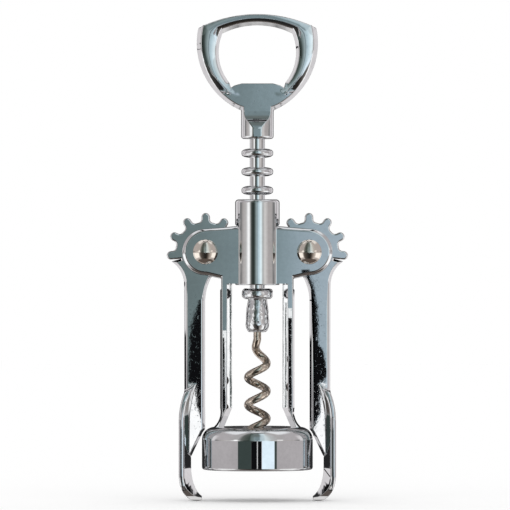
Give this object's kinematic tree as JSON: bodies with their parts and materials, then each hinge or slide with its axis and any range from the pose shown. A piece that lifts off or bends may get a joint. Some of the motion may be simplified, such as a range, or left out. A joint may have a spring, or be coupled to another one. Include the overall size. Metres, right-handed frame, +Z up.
{
  "type": "wing corkscrew",
  "caption": "Wing corkscrew with geared levers, ringed rack, coiled worm, bottle bell and a cap-lifting loop handle",
  "frame": {"origin": "centre of the bell's bottom rim, where the bottle's lip enters", "axes": "+Z up along the spindle from the bell to the handle, -Y is the front, +X is the right lever's side seen from the front"},
  "size_m": [0.0652, 0.04, 0.175],
  "materials": {
    "frame_chrome": "polished chrome plate over a die casting",
    "lever_chrome": "polished chrome plate over a die casting",
    "handle_chrome": "polished chrome plate over a die casting",
    "rack_chrome": "turned and chrome plated",
    "rivet_nickel": "warm polished nickel",
    "socket_cast": "bright plate over a rough cast skin",
    "worm_steel": "drawn steel wire, brownish grey",
    "shaft_steel": "turned steel",
    "liner_nylon": "moulded nylon"
  },
  "bodies": {
    "frame": {"frame_casting": "frame_chrome", "bell_liner": "liner_nylon", "rivet_post_left": "rivet_nickel", "rivet_post_right": "rivet_nickel", "rivet_cap_left": "rivet_nickel", "rivet_cap_right": "rivet_nickel"},
    "left_lever": {"lever_left": "lever_chrome"},
    "right_lever": {"lever_right": "lever_chrome"},
    "rack": {"rack_sleeve": "rack_chrome"},
    "screw": {"spindle_shaft": "shaft_steel", "handle_opener": "handle_chrome", "handle_pin": "shaft_steel", "worm_socket": "socket_cast", "worm": "worm_steel"}
  },
  "joints": [
    {"name": "lever_left_lift", "type": "hinge", "parent": "frame", "child": "left_lever", "pos_m": [-0.01865, 0, 0.0783], "axis": [0, 1, 0], "range_deg": [0, 150]},
    {"name": "lever_right_lift", "type": "hinge", "parent": "frame", "child": "right_lever", "pos_m": [0.01865, 0, 0.0783], "axis": [0, -1, 0], "range_deg": [0, 150]},
    {"name": "rack_slide", "type": "slide", "parent": "frame", "child": "rack", "axis": [0, 0, -1], "range_m": [0, 0.03142]},
    {"name": "handle_turn", "type": "hinge", "parent": "rack", "child": "screw", "pos_m": [0, 0, 0.119], "axis": [0, 0, 1], "continuous": true}
  ],
  "couplings": [
    {"joint": "lever_right_lift", "follows": "lever_left_lift", "ratio": 1},
    {"joint": "rack_slide", "follows": "lever_left_lift", "m_per_rad": 0.012}
  ]
}
